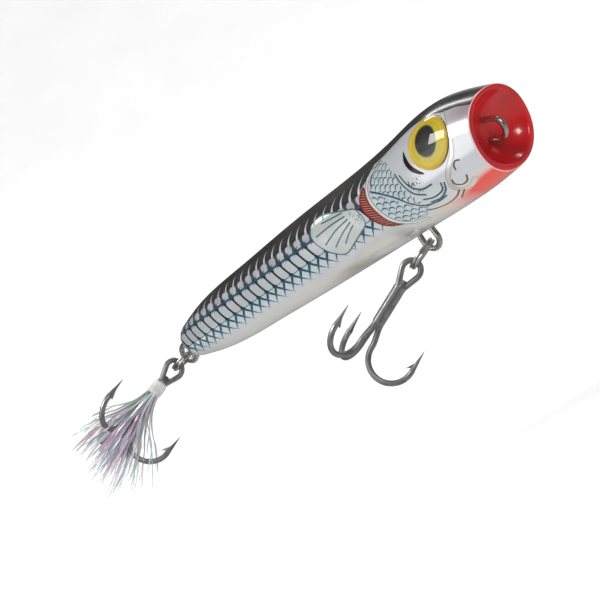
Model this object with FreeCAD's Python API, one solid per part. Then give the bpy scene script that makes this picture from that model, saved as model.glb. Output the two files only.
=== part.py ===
"""Topwater popper: a hollow two-shell lure body with wire eyes, split rings and two treble hooks.

The model is drawn with x = 0 at the tail end of the body, +X to the nose, +Y to the lure's left
and +Z to its back. Every piece is moved at export so that the line tie sits at the origin.
Lengths are in millimetres, angles in degrees.
"""
import FreeCAD, Part
import math
import os

from FreeCAD import Rotation, Vector

# Body
BODY_LENGTH = 82.0
WALL = 1.3
FACE_RAKE = 12.0            # the top lip leads the bottom lip
FULLNESS = 2.15             # exponent of the section's superellipse
WIDTH_RATIO = 1.15          # half width over mean half height
TAIL_ROUND = 3.4            # length of the rounded tail end
# (station along the body, height above the axis, depth below the axis)
LINES = [(2.5, 2.9, 3.4), (8.2, 4.1, 4.5), (20.5, 5.1, 5.4), (36.9, 5.95, 6.05),
         (50.8, 6.35, 6.45), (64.0, 7.2, 6.8), (73.8, 7.7, 6.85), (82.0, 5.4, 6.15)]
CUP_DEPTH = 3.2
CUP_LIP = 0.55              # flat left round the cup's mouth
OUTER_STATIONS = [0.12, 0.5, 1.1, 2, 3.4, 6, 10, 16, 24, 32, 40, 48, 56, 63, 69, 74, 78, BODY_LENGTH]
CAVITY_STATIONS = [3.6, 6, 10, 16, 24, 32, 40, 48, 56, 63, 69, 74.5]

# Wire eyes
WIRE = 0.9                  # wire diameter of the line tie and both hangers
TIE_CENTRE = Vector(79.5, 0, -0.2)
TIE_LOOP = 1.6              # loop radii, to the middle of the wire
HANGER_LOOP = 1.5
TIE_LEGS = 3.0              # between the two legs at their foot
HANGER_LEGS = 2.1
TIE_DROP = 20.0             # the tie leans down from the body axis
BELLY_EYE = Vector(57.3, 0, -8.0)
TAIL_EYE = Vector(-2.1, 0, -1.45)
TAIL_EYE_DROP = 18.0
LEG_REACH = 7.0             # how far the legs run back from the loop centre
FOOT = 1.4                  # outward bend that locks each leg

# Glued eyes
EYE_STATION = 74.2
EYE_ANGLE = 30.0            # up from the side
EYE_RADIUS = 3.85
EYE_SINK = 0.85             # the disc's face lies below the skin at its middle
EYE_DISC = 0.6
DOME_HEIGHT = 1.15

# Inside
BALL_DIAMETER = 6.0
BULKHEADS = [29.0, 39.2, 49.4]
BULKHEAD_THICKNESS = 1.0
FLOOR_TOP = -3.3
FLOOR_THICKNESS = 0.8
BALLAST_DIAMETER = 5.0
BALLAST_START, BALLAST_LENGTH = 12.0, 11.0
TAIL_BLOCK_END = 29.0       # solid plastic round the ballast and the tail hanger's legs
HANGER_BLOCK = 14.0         # and round the belly hanger's legs, behind the face and the eyes
NOSE_BLOCK_START, NOSE_BLOCK_LENGTH = 68.0, 12.0
LIGHTENING = (10.0, 12.0)   # length and height of the hollow over the belly hanger
LIGHTENING_FLOOR = 1.0
PEG_DIAMETER = 1.6
PEG_REACH = 1.6
PEG_STATIONS = [(9.5, 0.2), (26.5, 0.0), (52.5, 1.5), (68.6, 4.2)]
CLEARANCE = 0.05

# Split rings
RING_RADIUS = 2.5           # to the middle of the wire
RING_WIRE = 0.46
COIL_STEP = 0.47            # between the two coils

# Treble hooks
HOOK_WIRE = 0.9
HOOK_EYE = 1.5              # eye radius to the middle of the wire
HOOK_EYE_NECK = 3.0         # eye centre to where the shanks come together
SHANK_OFFSET = 0.53         # each wire from the shank's middle
SHANK_END = 9.0
BEND_START = 12.7
BEND_OFFSET = 1.15
BEND_RADIUS = 3.45
POINT_LENGTH = 3.6
BARB_REACH = 0.55
BRAZE_RADIUS = 0.93
SEAT = 0.02                 # gap left round the third hook in the braze and the dressing

# Dressing on the tail treble
WRAP_START, WRAP_END, WRAP_RADIUS = 3.3, 5.9, 1.25
SKIRT_END, SKIRT_RADIUS = 22.0, 6.2

# How the rings and hooks lie at rest: swung back and over to the lure's right
BELLY_PIVOT = BELLY_EYE + Vector(0, 0, -0.15)
BELLY_RING_RUN = Vector(-0.78, -0.50, -0.38)
BELLY_RING_AXIS = Vector(0.30, 0.15, -0.94)
BELLY_EYE_RUN = Vector(-0.60, -0.78, -0.20)
BELLY_SHANK = Vector(-0.64, -0.67, -0.38)
BELLY_THIRD = Vector(-0.77, 0.57, 0.29)
TAIL_PIVOT = TAIL_EYE + Vector(-0.15, 0, -0.1)
TAIL_RING_RUN = Vector(-0.91, 0.27, -0.32)
TAIL_RING_AXIS = Vector(0.17, 0, -0.98)
TAIL_EYE_RUN = Vector(-0.28, -0.95, 0.16)
TAIL_SHANK = Vector(-0.31, -0.92, -0.23)
TAIL_THIRD = Vector(-0.94, 0.26, 0.21)
EYE_SLACK = 0.45            # hook eye centre beyond the ring wire


def unit(v):
    return Vector(v) / v.Length


def square_to(v, axis):
    """The unit vector nearest to v that is square to axis."""
    a = unit(axis)
    return unit(v - a * v.dot(a))


# ---------------------------------------------------------------- body lines

def lines_curve(column):
    points = [Vector(row[0], 0, row[column]) for row in LINES]
    curve = Part.BSplineCurve()
    curve.interpolate(points)
    return curve


TOP_LINE = lines_curve(1)
BOTTOM_LINE = lines_curve(2)


def height_at(curve, x):
    """Height of a body line at station x; the tail end is a quarter ellipse."""
    first = LINES[0][0]
    inside = max(x, first)
    low, high = curve.FirstParameter, curve.LastParameter
    for _ in range(40):
        middle = (low + high) / 2
        if curve.value(middle).x < inside:
            low = middle
        else:
            high = middle
    height = curve.value((low + high) / 2).z
    if x < first:
        height *= math.sqrt((1 - (1 - x / TAIL_ROUND) ** 2) / (1 - (1 - first / TAIL_ROUND) ** 2))
    return height


def skin_point(x, angle, inset=0.0):
    """A point of the body's skin; angle 0 is the lure's left side, 90 its back."""
    top, bottom = height_at(TOP_LINE, x), height_at(BOTTOM_LINE, x)
    half_width = WIDTH_RATIO * (top + bottom) / 2 - inset
    c, s = math.cos(math.radians(angle)), math.sin(math.radians(angle))
    half_height = (top if s >= 0 else bottom) - inset
    power = 2 / FULLNESS
    return Vector(x, half_width * math.copysign(abs(c) ** power, c),
                  half_height * math.copysign(abs(s) ** power, s))


def section(x, inset=0.0):
    points = [skin_point(x, angle, inset) for angle in range(0, 360, 15)]
    curve = Part.BSplineCurve()
    curve.interpolate(Points=points, PeriodicFlag=True)
    return Part.Wire(curve.toShape())


def loft(stations, inset=0.0):
    return Part.makeLoft([section(x, inset) for x in stations], True, False)


def outer_body():
    """The whole body's outside, cut off at the raked face."""
    ahead = Part.makeBox(20, 40, 60, Vector(0, -20, -30))
    ahead.rotate(Vector(0, 0, 0), Vector(0, 1, 0), FACE_RAKE)
    ahead.translate(Vector(BODY_LENGTH, 0, LINES[-1][1]))
    return loft(OUTER_STATIONS).cut(ahead)


def cup():
    """The scoop in the face: an ellipsoid that leaves a narrow lip all round."""
    top, bottom = height_at(TOP_LINE, BODY_LENGTH), height_at(BOTTOM_LINE, BODY_LENGTH)
    half_height = (top + bottom) / 2 / math.cos(math.radians(FACE_RAKE)) - CUP_LIP
    half_width = WIDTH_RATIO * (top + bottom) / 2 - CUP_LIP
    radius = (half_height ** 2 + CUP_DEPTH ** 2) / (2 * CUP_DEPTH)
    scoop = Part.makeSphere(radius)
    stretch = FreeCAD.Matrix()
    stretch.scale(1, half_width / half_height, 1)
    scoop = scoop.transformGeometry(stretch)
    middle_z = (top - bottom) / 2
    middle_x = BODY_LENGTH - (top - middle_z) * math.tan(math.radians(FACE_RAKE))
    scoop.translate(Vector(radius - CUP_DEPTH, 0, 0))
    scoop.rotate(Vector(0, 0, 0), Vector(0, 1, 0), FACE_RAKE)
    scoop.translate(Vector(middle_x, 0, middle_z))
    return scoop


def cavity():
    return loft(CAVITY_STATIONS, WALL)


def block(start, length, bottom=-20.0, height=40.0):
    """A box across the whole body from one station to the next."""
    return Part.makeBox(length, 40, height, Vector(start, -20, bottom))


def inner_frame():
    """Bulkheads, ball floor and the solid blocks that hold wires, pegs and ballast."""
    first, last = BULKHEADS[0], BULKHEADS[-1]
    blocks = [block(x - BULKHEAD_THICKNESS / 2, BULKHEAD_THICKNESS) for x in BULKHEADS]
    blocks.append(block(first, last - first, FLOOR_TOP - FLOOR_THICKNESS, FLOOR_THICKNESS))
    blocks.append(block(0, TAIL_BLOCK_END))
    blocks.append(block(BELLY_EYE.x - HANGER_BLOCK / 2, HANGER_BLOCK))
    blocks.append(block(NOSE_BLOCK_START, NOSE_BLOCK_LENGTH))
    length, height = LIGHTENING
    hollow = block(BELLY_EYE.x - length / 2, length, LIGHTENING_FLOOR, height)
    return blocks[0].multiFuse(blocks[1:]).cut(hollow)


# ---------------------------------------------------------------- wires and eyes

def pipe(path, diameter, start, along):
    """A round wire along a path that starts at `start`, running `along`."""
    rim = Part.Wire(Part.makeCircle(diameter / 2, start, along))
    return path.makePipeShell([rim], True, False)


def tangent_angle(x, y, radius):
    """Angle on a circle about the origin where the line from (x, y) touches it, on the -X side."""
    return math.degrees(math.atan2(y, x) % (2 * math.pi) - math.acos(radius / math.hypot(x, y)))


def mirrored(v):
    return Vector(-v.x, 0, v.z)


def loop_path(radius, gap, reach, foot):
    """A wire loop in the XZ plane, its legs running down to z = -reach and bent out by foot."""
    angle = math.radians(tangent_angle(-gap / 2, -reach, radius))
    left = Vector(radius * math.cos(angle), 0, radius * math.sin(angle))
    leg = Vector(-gap / 2, 0, -reach)
    edges = [Part.LineSegment(leg, left).toShape(),
             Part.Arc(left, Vector(0, 0, radius), mirrored(left)).toShape(),
             Part.LineSegment(mirrored(left), mirrored(leg)).toShape()]
    turn = unit(left - leg)
    if foot == 0:
        return Part.Wire(edges), leg, turn
    out = Vector(-turn.z, 0, turn.x)
    bend = foot / 2
    hip = leg + out * bend - turn * bend
    knee = leg + out * bend * (1 - math.sqrt(0.5)) - turn * bend * math.sqrt(0.5)
    toe = hip + out * bend
    edges = ([Part.LineSegment(toe, hip).toShape(), Part.Arc(hip, knee, leg).toShape()] + edges
             + [Part.Arc(mirrored(leg), mirrored(knee), mirrored(hip)).toShape(),
                Part.LineSegment(mirrored(hip), mirrored(toe)).toShape()])
    return Part.Wire(edges), toe, out * -1


def wire_eye(radius, gap):
    path, start, along = loop_path(radius, gap, LEG_REACH, FOOT)
    return pipe(path, WIRE, start, along)


def placed(shape, origin, turn):
    copy = shape.copy()
    copy.Placement = FreeCAD.Placement(origin, turn).multiply(shape.Placement)
    return copy


def line_tie():
    """Loop out of the cup, its legs running back into the nose block."""
    return placed(wire_eye(TIE_LOOP, TIE_LEGS), TIE_CENTRE,
                  Rotation(Vector(0, 1, 0), 90 + TIE_DROP))


def belly_hanger():
    return placed(wire_eye(HANGER_LOOP, HANGER_LEGS), BELLY_EYE, Rotation(Vector(0, 1, 0), 180))


def tail_hanger():
    return placed(wire_eye(HANGER_LOOP, HANGER_LEGS), TAIL_EYE, Rotation(Vector(0, 1, 0), -90 - TAIL_EYE_DROP))


# ---------------------------------------------------------------- glued eyes

def eye_seat(side):
    """Middle of the disc's face and its direction; side is +1 for the left, -1 for the right."""
    here = skin_point(EYE_STATION, EYE_ANGLE)
    along = skin_point(EYE_STATION + 0.5, EYE_ANGLE) - skin_point(EYE_STATION - 0.5, EYE_ANGLE)
    across = skin_point(EYE_STATION, EYE_ANGLE + 2) - skin_point(EYE_STATION, EYE_ANGLE - 2)
    out = unit(along.cross(across))
    if out.y < 0:
        out = out * -1
    face = here - out * EYE_SINK
    return Vector(face.x, side * face.y, face.z), Vector(out.x, side * out.y, out.z)


def eye_disc(side):
    centre, out = eye_seat(side)
    return Part.makeCylinder(EYE_RADIUS, EYE_DISC, centre - out * EYE_DISC, out)


def eye_socket(side):
    """The round pocket in the shell that the disc and the dome sit in."""
    centre, out = eye_seat(side)
    return Part.makeCylinder(EYE_RADIUS, EYE_DISC + 3, centre - out * EYE_DISC, out)


def eye_dome(side):
    """A clear cap on the disc: the part of a sphere above the disc's face."""
    centre, out = eye_seat(side)
    radius = (EYE_RADIUS ** 2 + DOME_HEIGHT ** 2) / (2 * DOME_HEIGHT)
    ball = Part.makeSphere(radius, centre + out * (DOME_HEIGHT - radius))
    keep = Part.makeCylinder(EYE_RADIUS + 1, DOME_HEIGHT + 1, centre, out)
    return ball.common(keep)


# ---------------------------------------------------------------- inside pieces

def ballast_slug():
    return Part.makeCylinder(BALLAST_DIAMETER / 2, BALLAST_LENGTH,
                             Vector(BALLAST_START, 0, 0), Vector(1, 0, 0))


def ball_centre(cell):
    start = BULKHEADS[cell] + BULKHEAD_THICKNESS / 2
    return Vector(start + BALL_DIAMETER / 2 + CLEARANCE * 2, 0,
                  FLOOR_TOP + BALL_DIAMETER / 2 + CLEARANCE)


def rattle_ball(cell):
    return Part.makeSphere(BALL_DIAMETER / 2, ball_centre(cell))


def pegs(grow=0.0):
    made = [Part.makeCylinder(PEG_DIAMETER / 2 + grow, PEG_REACH + grow, Vector(x, 0, z),
                              Vector(0, 1, 0)) for x, z in PEG_STATIONS]
    return made[0].multiFuse(made[1:])


def shells(inserts):
    """The two moulded halves, with everything they hold cut out of them."""
    body = outer_body().cut(cavity().cut(inner_frame())).cut(cup())
    for insert in inserts:
        body = body.cut(insert)
    right_half = Part.makeBox(120, 30, 60, Vector(-20, -30, -30))
    right = body.common(right_half).fuse(pegs())
    left = body.cut(right_half).cut(pegs(CLEARANCE))
    return left, right


# ---------------------------------------------------------------- rings and hooks

def split_ring():
    """Two flat coils about Z joined by a short crossing wire."""
    gap = 14
    turns = []
    for z, first, last in ((-COIL_STEP / 2, gap, 360 - gap / 2), (COIL_STEP / 2, gap / 2 - 4, 346 - gap)):
        points = [Vector(RING_RADIUS * math.cos(math.radians(a)), RING_RADIUS * math.sin(math.radians(a)), z)
                  for a in (first, (first + last) / 2, last)]
        path = Part.Wire(Part.Arc(*points).toShape())
        tangent = Vector(-points[0].y, points[0].x, 0)
        turns.append(pipe(path, RING_WIRE, points[0], tangent))
        turns.append((points[0], points[2]))
    low, (_, low_end), high, (high_start, _) = turns
    step = high_start - low_end
    bridge = Part.makeCylinder(RING_WIRE / 2, step.Length, low_end, step)
    joints = [Part.makeSphere(RING_WIRE / 2, low_end), Part.makeSphere(RING_WIRE / 2, high_start)]
    return low.multiFuse([high, bridge] + joints).removeSplitter()


def hook_curve():
    """One hook in the XZ plane: shank, flare, round bend and the leg under the point."""
    bend_x = BEND_OFFSET + BEND_RADIUS
    leg_x = BEND_OFFSET + 2 * BEND_RADIUS
    shank_top = Vector(SHANK_OFFSET, 0, -HOOK_EYE_NECK)
    shank_low = Vector(SHANK_OFFSET, 0, -SHANK_END)
    bend_top = Vector(BEND_OFFSET, 0, -BEND_START)
    flare = Part.BezierCurve()
    flare.setPoles([shank_low, shank_low - Vector(0, 0, 1.3), bend_top + Vector(0, 0, 1.3), bend_top])
    bottom = Vector(bend_x, 0, -BEND_START - BEND_RADIUS)
    leg = Vector(leg_x, 0, -BEND_START)
    edges = [Part.LineSegment(shank_top, shank_low).toShape(), flare.toShape(),
             Part.Arc(bend_top, bottom, leg).toShape()]
    return Part.Wire(edges), shank_top, leg


def hook(grow=0.0):
    """One hook; grow thickens its wire all round, for the seat that it lies in."""
    path, start, leg = hook_curve()
    wire = pipe(path, HOOK_WIRE + 2 * grow, start, Vector(0, 0, -1))
    point = Part.makeCone(HOOK_WIRE / 2 + grow, 0.04 + grow, POINT_LENGTH, leg, Vector(0, 0, 1))
    heel = leg + Vector(0, 0, 0.2)
    barb = Part.makePolygon([heel + Vector(-0.1, 0, 1.5), heel + Vector(-HOOK_WIRE / 2 - BARB_REACH, 0, -0.1),
                             heel + Vector(-0.1, 0, 0.5), heel + Vector(-0.1, 0, 1.5)])
    spur = Part.Face(barb).extrude(Vector(0, 0.36, 0))
    spur.translate(Vector(0, -0.18, 0))
    return wire.multiFuse([point, spur])


def turned(shape, angle):
    copy = shape.copy()
    copy.rotate(Vector(0, 0, 0), Vector(0, 0, 1), angle)
    return copy


def third_hook(grow=0.0):
    """The hook brazed on behind the pair; it points along -Y."""
    return turned(hook(grow), -90)


def hook_pair(seat):
    """Two hooks and the eye bent from one wire, with the braze that holds the third hook."""
    path, start, along = loop_path(HOOK_EYE, SHANK_OFFSET * math.sqrt(3), HOOK_EYE_NECK, 0)
    eye = pipe(path, HOOK_WIRE, start, along)
    eye.translate(Vector(0, SHANK_OFFSET / 2, 0))
    arms = [turned(hook(), 30), turned(hook(), 150)]
    braze = Part.makeCylinder(BRAZE_RADIUS, SHANK_END - HOOK_EYE_NECK, Vector(0, 0, -SHANK_END))
    tip = Part.makeCone(BRAZE_RADIUS, 0.45, 1.2, Vector(0, 0, -HOOK_EYE_NECK))
    foot = Part.makeCone(BRAZE_RADIUS, 0.5, 1.0, Vector(0, 0, -SHANK_END), Vector(0, 0, -1))
    shank = braze.fuse(tip).fuse(foot).cut(seat)
    for wire in arms + [eye]:
        shank = shank.fuse(wire)
    return shank


def thread_wrap(wires):
    """The whipping that ties the dressing down: a barrel with rounded ends."""
    length = WRAP_END - WRAP_START
    barrel = Part.makeCylinder(WRAP_RADIUS, length, Vector(0, 0, -WRAP_END))
    barrel = barrel.makeFillet(0.35, [e for e in barrel.Edges if e.Closed])
    return barrel.cut(wires)


def tinsel_skirt(wires):
    """The outer shape of the dressing: a flare from the wrap down past the bends."""
    length = SKIRT_END - WRAP_END
    flare = Part.makeCone(SKIRT_RADIUS, WRAP_RADIUS, length, Vector(0, 0, -SKIRT_END))
    return flare.cut(wires)


# ---------------------------------------------------------------- resting positions

def ring_place(pivot, run, axis):
    """Placement of a split ring and the centre it has at rest."""
    a = unit(axis)
    out = square_to(run, a)
    centre = pivot + out * RING_RADIUS
    return centre, a, Rotation(out, a.cross(out), a, "ZXY")


def hook_turn(shank, third):
    """Rotation that lays the shank along one direction and the third hook near another."""
    z = unit(shank) * -1
    y = square_to(third, z) * -1
    return Rotation(y.cross(z), y, z, "ZXY")


def export(name, shape):
    moved = max(shape.Solids, key=lambda solid: solid.Volume).copy()
    moved.translate(TIE_CENTRE * -1)
    moved.exportStep("parts/" + name + ".step")
    box = moved.BoundBox
    print("%-18s solids %d valid %s volume %8.2f  x %7.2f..%7.2f  y %6.2f..%6.2f  z %6.2f..%6.2f"
          % (name, len(shape.Solids), moved.isValid(), moved.Volume, box.XMin, box.XMax,
             box.YMin, box.YMax, box.ZMin, box.ZMax))


def build():
    pieces = {"line_tie": line_tie(), "belly_hanger": belly_hanger(), "tail_hanger": tail_hanger(),
              "ballast_slug": ballast_slug(),
              "left_eye_disc": eye_disc(1), "right_eye_disc": eye_disc(-1),
              "left_eye_dome": eye_dome(1), "right_eye_dome": eye_dome(-1)}
    held = [pieces[name] for name in ("line_tie", "belly_hanger", "tail_hanger", "ballast_slug")]
    pieces["left_shell"], pieces["right_shell"] = shells(held + [eye_socket(1), eye_socket(-1)])
    pieces["front_rattle_ball"] = rattle_ball(1)
    pieces["rear_rattle_ball"] = rattle_ball(0)

    ring = split_ring()
    third = third_hook()
    seat = third_hook(SEAT)
    pair = hook_pair(seat)
    wrap = thread_wrap([pair, seat])
    skirt = tinsel_skirt([pair, seat])

    centre, axis, turn = ring_place(BELLY_PIVOT, BELLY_RING_RUN, BELLY_RING_AXIS)
    pieces["belly_split_ring"] = placed(ring, centre, turn)
    eye = centre + square_to(BELLY_EYE_RUN, axis) * RING_RADIUS + unit(BELLY_SHANK) * EYE_SLACK
    turn = hook_turn(BELLY_SHANK, BELLY_THIRD)
    pieces["belly_hook_pair"] = placed(pair, eye, turn)
    pieces["belly_hook_third"] = placed(third, eye, turn)
    print("belly ring centre", centre - TIE_CENTRE, "axis", axis, "pivot", BELLY_PIVOT - TIE_CENTRE)

    centre, axis, turn = ring_place(TAIL_PIVOT, TAIL_RING_RUN, TAIL_RING_AXIS)
    pieces["tail_split_ring"] = placed(ring, centre, turn)
    eye = centre + square_to(TAIL_EYE_RUN, axis) * RING_RADIUS + unit(TAIL_SHANK) * EYE_SLACK
    turn = hook_turn(TAIL_SHANK, TAIL_THIRD)
    for name, shape in (("tail_hook_pair", pair), ("tail_hook_third", third),
                        ("thread_wrap", wrap), ("tinsel_skirt", skirt)):
        pieces[name] = placed(shape, eye, turn)
    print("tail ring centre", centre - TIE_CENTRE, "axis", axis, "pivot", TAIL_PIVOT - TIE_CENTRE)
    return pieces


def main():
    os.makedirs("parts", exist_ok=True)
    for name, shape in build().items():
        export(name, shape)


if __name__ == "__main__":
    main()
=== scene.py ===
import math
import random

import bpy
import numpy as np
from mathutils import Matrix, Vector


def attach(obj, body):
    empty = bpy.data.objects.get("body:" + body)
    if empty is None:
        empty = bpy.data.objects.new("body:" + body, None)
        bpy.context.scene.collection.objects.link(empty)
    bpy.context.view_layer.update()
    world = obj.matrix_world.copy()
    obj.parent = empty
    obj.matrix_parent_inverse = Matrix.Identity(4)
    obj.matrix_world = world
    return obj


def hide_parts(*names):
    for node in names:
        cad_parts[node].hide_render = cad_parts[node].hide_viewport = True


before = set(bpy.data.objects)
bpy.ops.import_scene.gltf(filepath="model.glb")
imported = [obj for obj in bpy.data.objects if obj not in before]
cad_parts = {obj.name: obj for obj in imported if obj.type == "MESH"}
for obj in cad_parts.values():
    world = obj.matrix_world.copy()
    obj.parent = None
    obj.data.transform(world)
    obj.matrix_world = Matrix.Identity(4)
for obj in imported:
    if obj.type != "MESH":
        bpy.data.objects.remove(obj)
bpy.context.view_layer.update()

MM = 0.001

# ---------------------------------------------------------------- painted body
# Two moulded ABS halves glued along the middle, foiled and sprayed, then dipped in clear coat.
# The paint hides the seam, so the outside is one skin: round tail, raked face, scooped cup.

TIE_X, TIE_Z = 79.5, -0.2                     # the line tie's place on the body, in mm from the tail
STATIONS = [2.5, 8.2, 20.5, 36.9, 50.8, 64.0, 73.8, 82.0]       # mm from the tail
TOP = [2.9, 4.1, 5.1, 5.95, 6.35, 7.2, 7.7, 5.4]                # mm above the middle line there
BOTTOM = [3.4, 4.5, 5.4, 6.05, 6.45, 6.8, 6.85, 6.15]           # and below it
LENGTH, TAIL_ROUND = 82.0, 3.4
FULLNESS, WIDTH_RATIO = 2.15, 1.15            # sections a little fuller and wider than round
LEAN_BACK = math.radians(12)                  # of the face
RAKE = math.tan(LEAN_BACK)
CUP_DEPTH, CUP_LIP, RIM_ROUND, DISH_EDGE_ROUND = 3.2, 0.55, 0.3, 0.03


def through(stations, heights):
    """A smooth line through the given heights, free at both ends, as a fair batten bends."""
    x, y = np.array(stations), np.array(heights)
    gap = np.diff(x)
    system, slope = np.eye(len(x)), np.zeros(len(x))
    for i in range(1, len(x) - 1):
        system[i, i - 1:i + 2] = gap[i - 1], 2 * (gap[i - 1] + gap[i]), gap[i]
        slope[i] = 6 * ((y[i + 1] - y[i]) / gap[i] - (y[i] - y[i - 1]) / gap[i - 1])
    bend = np.linalg.solve(system, slope)

    def height(at):
        i = np.clip(np.searchsorted(x, at) - 1, 0, len(gap) - 1)
        before, after, span = x[i + 1] - at, at - x[i], gap[i]
        return ((bend[i] * before ** 3 + bend[i + 1] * after ** 3) / (6 * span)
                + (y[i] / span - bend[i] * span / 6) * before
                + (y[i + 1] / span - bend[i + 1] * span / 6) * after)
    return height


top_line, bottom_line = through(STATIONS, TOP), through(STATIONS, BOTTOM)


def skin_at(x, angle):
    """Points of the skin, in mm from the tail; angle 0 is the left side, 90 degrees the back."""
    inside = np.maximum(x, STATIONS[0])
    full = 1 - (1 - STATIONS[0] / TAIL_ROUND) ** 2
    ends = np.sqrt(np.clip((1 - (1 - x / TAIL_ROUND) ** 2) / full, 0, 1))
    ends = np.where(x < STATIONS[0], ends, 1.0)
    top, bottom = top_line(inside) * ends, bottom_line(inside) * ends
    c, s = np.cos(angle), np.sin(angle)
    wide = WIDTH_RATIO * (top + bottom) / 2 * np.sign(c) * np.abs(c) ** (2 / FULLNESS)
    high = np.where(s >= 0, top, bottom) * np.sign(s) * np.abs(s) ** (2 / FULLNESS)
    return np.stack([x, wide, high], -1)


def spaced(*runs):
    """Positions along a line from (end, step) runs, closer where the paint is finer."""
    out, here = [0.0], 0.0
    for end, step in runs:
        count = max(1, round((end - here) / step))
        out += list(here + (end - here) * np.arange(1, count + 1) / count)
        here = end
    return np.array(out)


# A sphere with one row of points for each place along the skin, then four round the rim and the
# rest down the cup; the rows and the points round each are closest where the paint is finest.
rows = spaced((0.3, 0.03), (3, 0.25), (43, 0.5), (53, 0.22), (LENGTH, 0.16)) / LENGTH
belly_to_side = spaced((0.32, 0.04), (0.78, 0.0147), (1.0, 0.012)) * math.pi / 2
side_to_back = spaced((0.58, 0.0135), (1.0, 0.03)) * math.pi / 2
girth = np.concatenate([belly_to_side - math.pi / 2, side_to_back[1:]])
around = np.concatenate([girth, math.pi - girth[::-1][1:-1]])
RIM_ROWS = 4
cup_rows = spaced((0.28, 0.02), (1.0, 0.055))[1:-1]

bpy.ops.object.select_all(action="DESELECT")
ring_count = len(rows) + RIM_ROWS + len(cup_rows) + 1
bpy.ops.mesh.primitive_uv_sphere_add(segments=len(around), ring_count=ring_count, radius=1)
body = bpy.context.object
body.name = "painted_body"
sphere = np.empty(len(body.data.vertices) * 3)
body.data.vertices.foreach_get("co", sphere)
sphere = sphere.reshape(-1, 3)
row = np.rint(np.arccos(np.clip(sphere[:, 2], -1, 1)) / math.pi * ring_count).astype(int)
turn = np.rint((np.arctan2(sphere[:, 1], sphere[:, 0]) % (2 * math.pi)) / (2 * math.pi) * len(around))
angle = around[turn.astype(int) % len(around)]

# Where each line of the skin meets the raked face, closed in on by trial.
face_x = np.full(len(row), LENGTH)
for _ in range(6):
    face_x = LENGTH - (TOP[-1] - skin_at(face_x, angle)[:, 2]) * RAKE
rim = skin_at(face_x, angle)

# The cup is a shallow dish cut into the face, inside a lip.
middle_z = (TOP[-1] - BOTTOM[-1]) / 2
middle = np.array([LENGTH - (TOP[-1] - middle_z) * RAKE, 0, middle_z])
half_high = (TOP[-1] + BOTTOM[-1]) / 2 / math.cos(LEAN_BACK) - CUP_LIP
half_wide = WIDTH_RATIO * (TOP[-1] + BOTTOM[-1]) / 2 - CUP_LIP
scoop = (half_high ** 2 + CUP_DEPTH ** 2) / (2 * CUP_DEPTH)
inward = middle - rim
reach = np.linalg.norm(inward, axis=1, keepdims=True)
inward = inward / reach
face_out = np.array([math.cos(LEAN_BACK), 0, -math.sin(LEAN_BACK)])
face_up = np.array([math.sin(LEAN_BACK), 0, math.cos(LEAN_BACK)])

last = len(rows) - 1
along = np.clip(row, 0, last)
place = skin_at(rows[along] * (face_x - RIM_ROUND), angle)
bend = np.clip(row - last, 0, RIM_ROWS) / RIM_ROWS * math.pi / 2
edge = skin_at(face_x - RIM_ROUND * (1 - np.sin(bend)), angle)
edge = edge + inward * (RIM_ROUND * (1 - np.cos(bend)))[:, None]
place = np.where((row > last)[:, None], edge, place)
in_cup = row > last + RIM_ROWS
share = np.concatenate([cup_rows, [1.0]])[np.clip(row - last - RIM_ROWS - 1, 0, len(cup_rows))]
flat = middle + (rim - middle) * (1 - share[:, None]) * (1 - RIM_ROUND / reach)
off = flat - middle
round_off = (off @ face_up) ** 2 + (off[:, 1] * half_high / half_wide) ** 2
depth = np.sqrt(np.clip(scoop ** 2 - round_off, 0, None)) - (scoop - CUP_DEPTH)
depth = (depth + np.sqrt(depth ** 2 + DISH_EDGE_ROUND)) / 2
place = np.where(in_cup[:, None], flat - face_out * depth[:, None], place)
place = place - np.array([TIE_X, 0, TIE_Z])
body.data.vertices.foreach_set("co", (place * MM).ravel())
on_rim = np.where(row > last, (row - last) * 0.05, -1.0)
into_cup = np.where(in_cup, 0.2 + share * reach[:, 0], on_rim)
into_cup = into_cup.astype(np.float32)
body.data.attributes.new("into_cup", "FLOAT", "POINT").data.foreach_set("value", into_cup)
bpy.ops.object.mode_set(mode="EDIT")
bpy.ops.mesh.select_all(action="SELECT")
bpy.ops.mesh.remove_doubles(threshold=1e-7)
bpy.ops.mesh.normals_make_consistent(inside=False)
bpy.ops.object.mode_set(mode="OBJECT")
bpy.ops.object.shade_smooth()
skin_mm = np.empty(len(body.data.vertices) * 3)
body.data.vertices.foreach_get("co", skin_mm)
skin_mm = skin_mm.reshape(-1, 3) / MM

# The sprayer's stencils are laid out on the skin by two measures in mm: `run`, forward of the line
# tie along the body, and `arc`, up the skin from the middle of the side.
run = skin_mm[:, 0]
bearing = np.arctan2(skin_mm[:, 2] + TIE_Z, np.abs(skin_mm[:, 1]))
CUTS, SPOKES = 165, 181                       # cross-sections measured, and points up each half
cut_at = np.linspace(0.05, LENGTH, CUTS)
sweep = np.linspace(-math.pi / 2, math.pi / 2, SPOKES)
cuts = skin_at(np.repeat(cut_at[:, None], SPOKES, 1), np.repeat(sweep[None], CUTS, 0))
steps = np.linalg.norm(np.diff(cuts, axis=1), axis=2)
arcs = np.concatenate([np.zeros((CUTS, 1)), np.cumsum(steps, 1)], 1)
arcs -= arcs[:, SPOKES // 2][:, None]
bearings = np.arctan2(cuts[:, :, 2], cuts[:, :, 1])
arc = np.empty(len(skin_mm))
where = np.clip((run + TIE_X - cut_at[0]) / (cut_at[1] - cut_at[0]), 0, CUTS - 1.001)
for i in range(CUTS - 1):
    chosen = where.astype(int) == i
    behind = np.interp(bearing[chosen], bearings[i], arcs[i])
    ahead = np.interp(bearing[chosen], bearings[i + 1], arcs[i + 1])
    arc[chosen] = behind + (ahead - behind) * (where[chosen] - i)


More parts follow.
